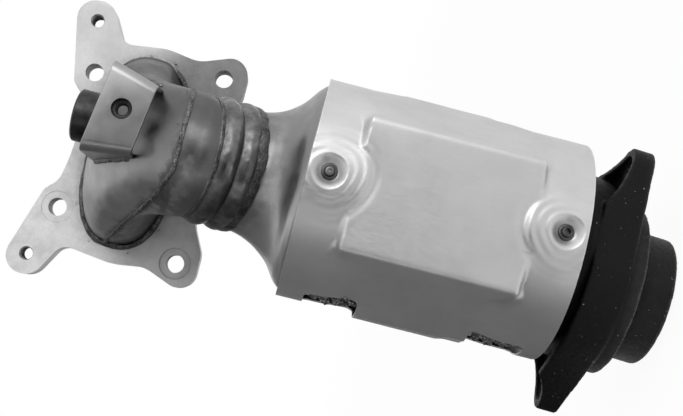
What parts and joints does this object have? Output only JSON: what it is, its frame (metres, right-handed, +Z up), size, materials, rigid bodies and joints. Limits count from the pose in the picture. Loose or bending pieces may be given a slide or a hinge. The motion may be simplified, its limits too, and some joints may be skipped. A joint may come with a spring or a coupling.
{
  "type": "close-coupled catalytic converter",
  "caption": "Close-coupled exhaust catalytic converter: flanged elbow inlet, ribbed neck, round body in a pressed heat shield, and a cast outlet with an eared flange and spigot.",
  "frame": {"origin": "middle of the inlet port on the mating face of the inlet flange", "axes": "+X across the flange, +Y out of the mating face into the engine, +Z up; the body hangs along -Z"},
  "size_m": [0.1757, 0.1323, 0.3716],
  "materials": {
    "flange_steel": "milled plate, dull and slightly mottled",
    "stained_stainless": "pressed stainless sheet, darkened by heat, soft sheen",
    "weld_metal": "rippled weld metal with oxide",
    "boss_steel": "turned and blackened steel",
    "strap_steel": "bright rolled strip",
    "nut_steel": "dark weld nut",
    "neck_stainless": "rolled stainless tube with dark heat stain",
    "body_stainless": "plain stainless sheet",
    "shield_sheet": "aluminised sheet, satin with a faint rolling grain",
    "fastener_steel": "grey stud and washer",
    "mat_fibre": "pressed mineral fibre",
    "ceramic": "matt cordierite with a wash coat",
    "casting_iron": "near black cast skin"
  },
  "bodies": {
    "root": {"inlet_flange": "flange_steel", "collector_dome": "stained_stainless", "collector_elbow": "stained_stainless", "flange_weld": "weld_metal", "collector_seam_weld": "weld_metal", "sensor_boss": "boss_steel", "sensor_boss_weld": "weld_metal", "cover_bracket": "strap_steel", "bracket_nut": "nut_steel", "bracket_welds": "weld_metal", "neck_tube": "neck_stainless", "elbow_neck_weld": "weld_metal", "neck_cone_weld": "weld_metal", "inlet_cone": "stained_stainless", "inlet_can_weld": "weld_metal", "converter_can": "body_stainless", "support_mat": "mat_fibre", "ceramic_brick": "ceramic", "outlet_cone": "body_stainless", "outlet_can_weld": "weld_metal", "outlet_casting": "casting_iron", "casting_weld": "weld_metal", "shield_front": "shield_sheet", "shield_rear": "shield_sheet", "shield_studs": "fastener_steel", "shield_washers": "fastener_steel", "shield_tack_welds": "weld_metal"}
  },
  "joints": []
}
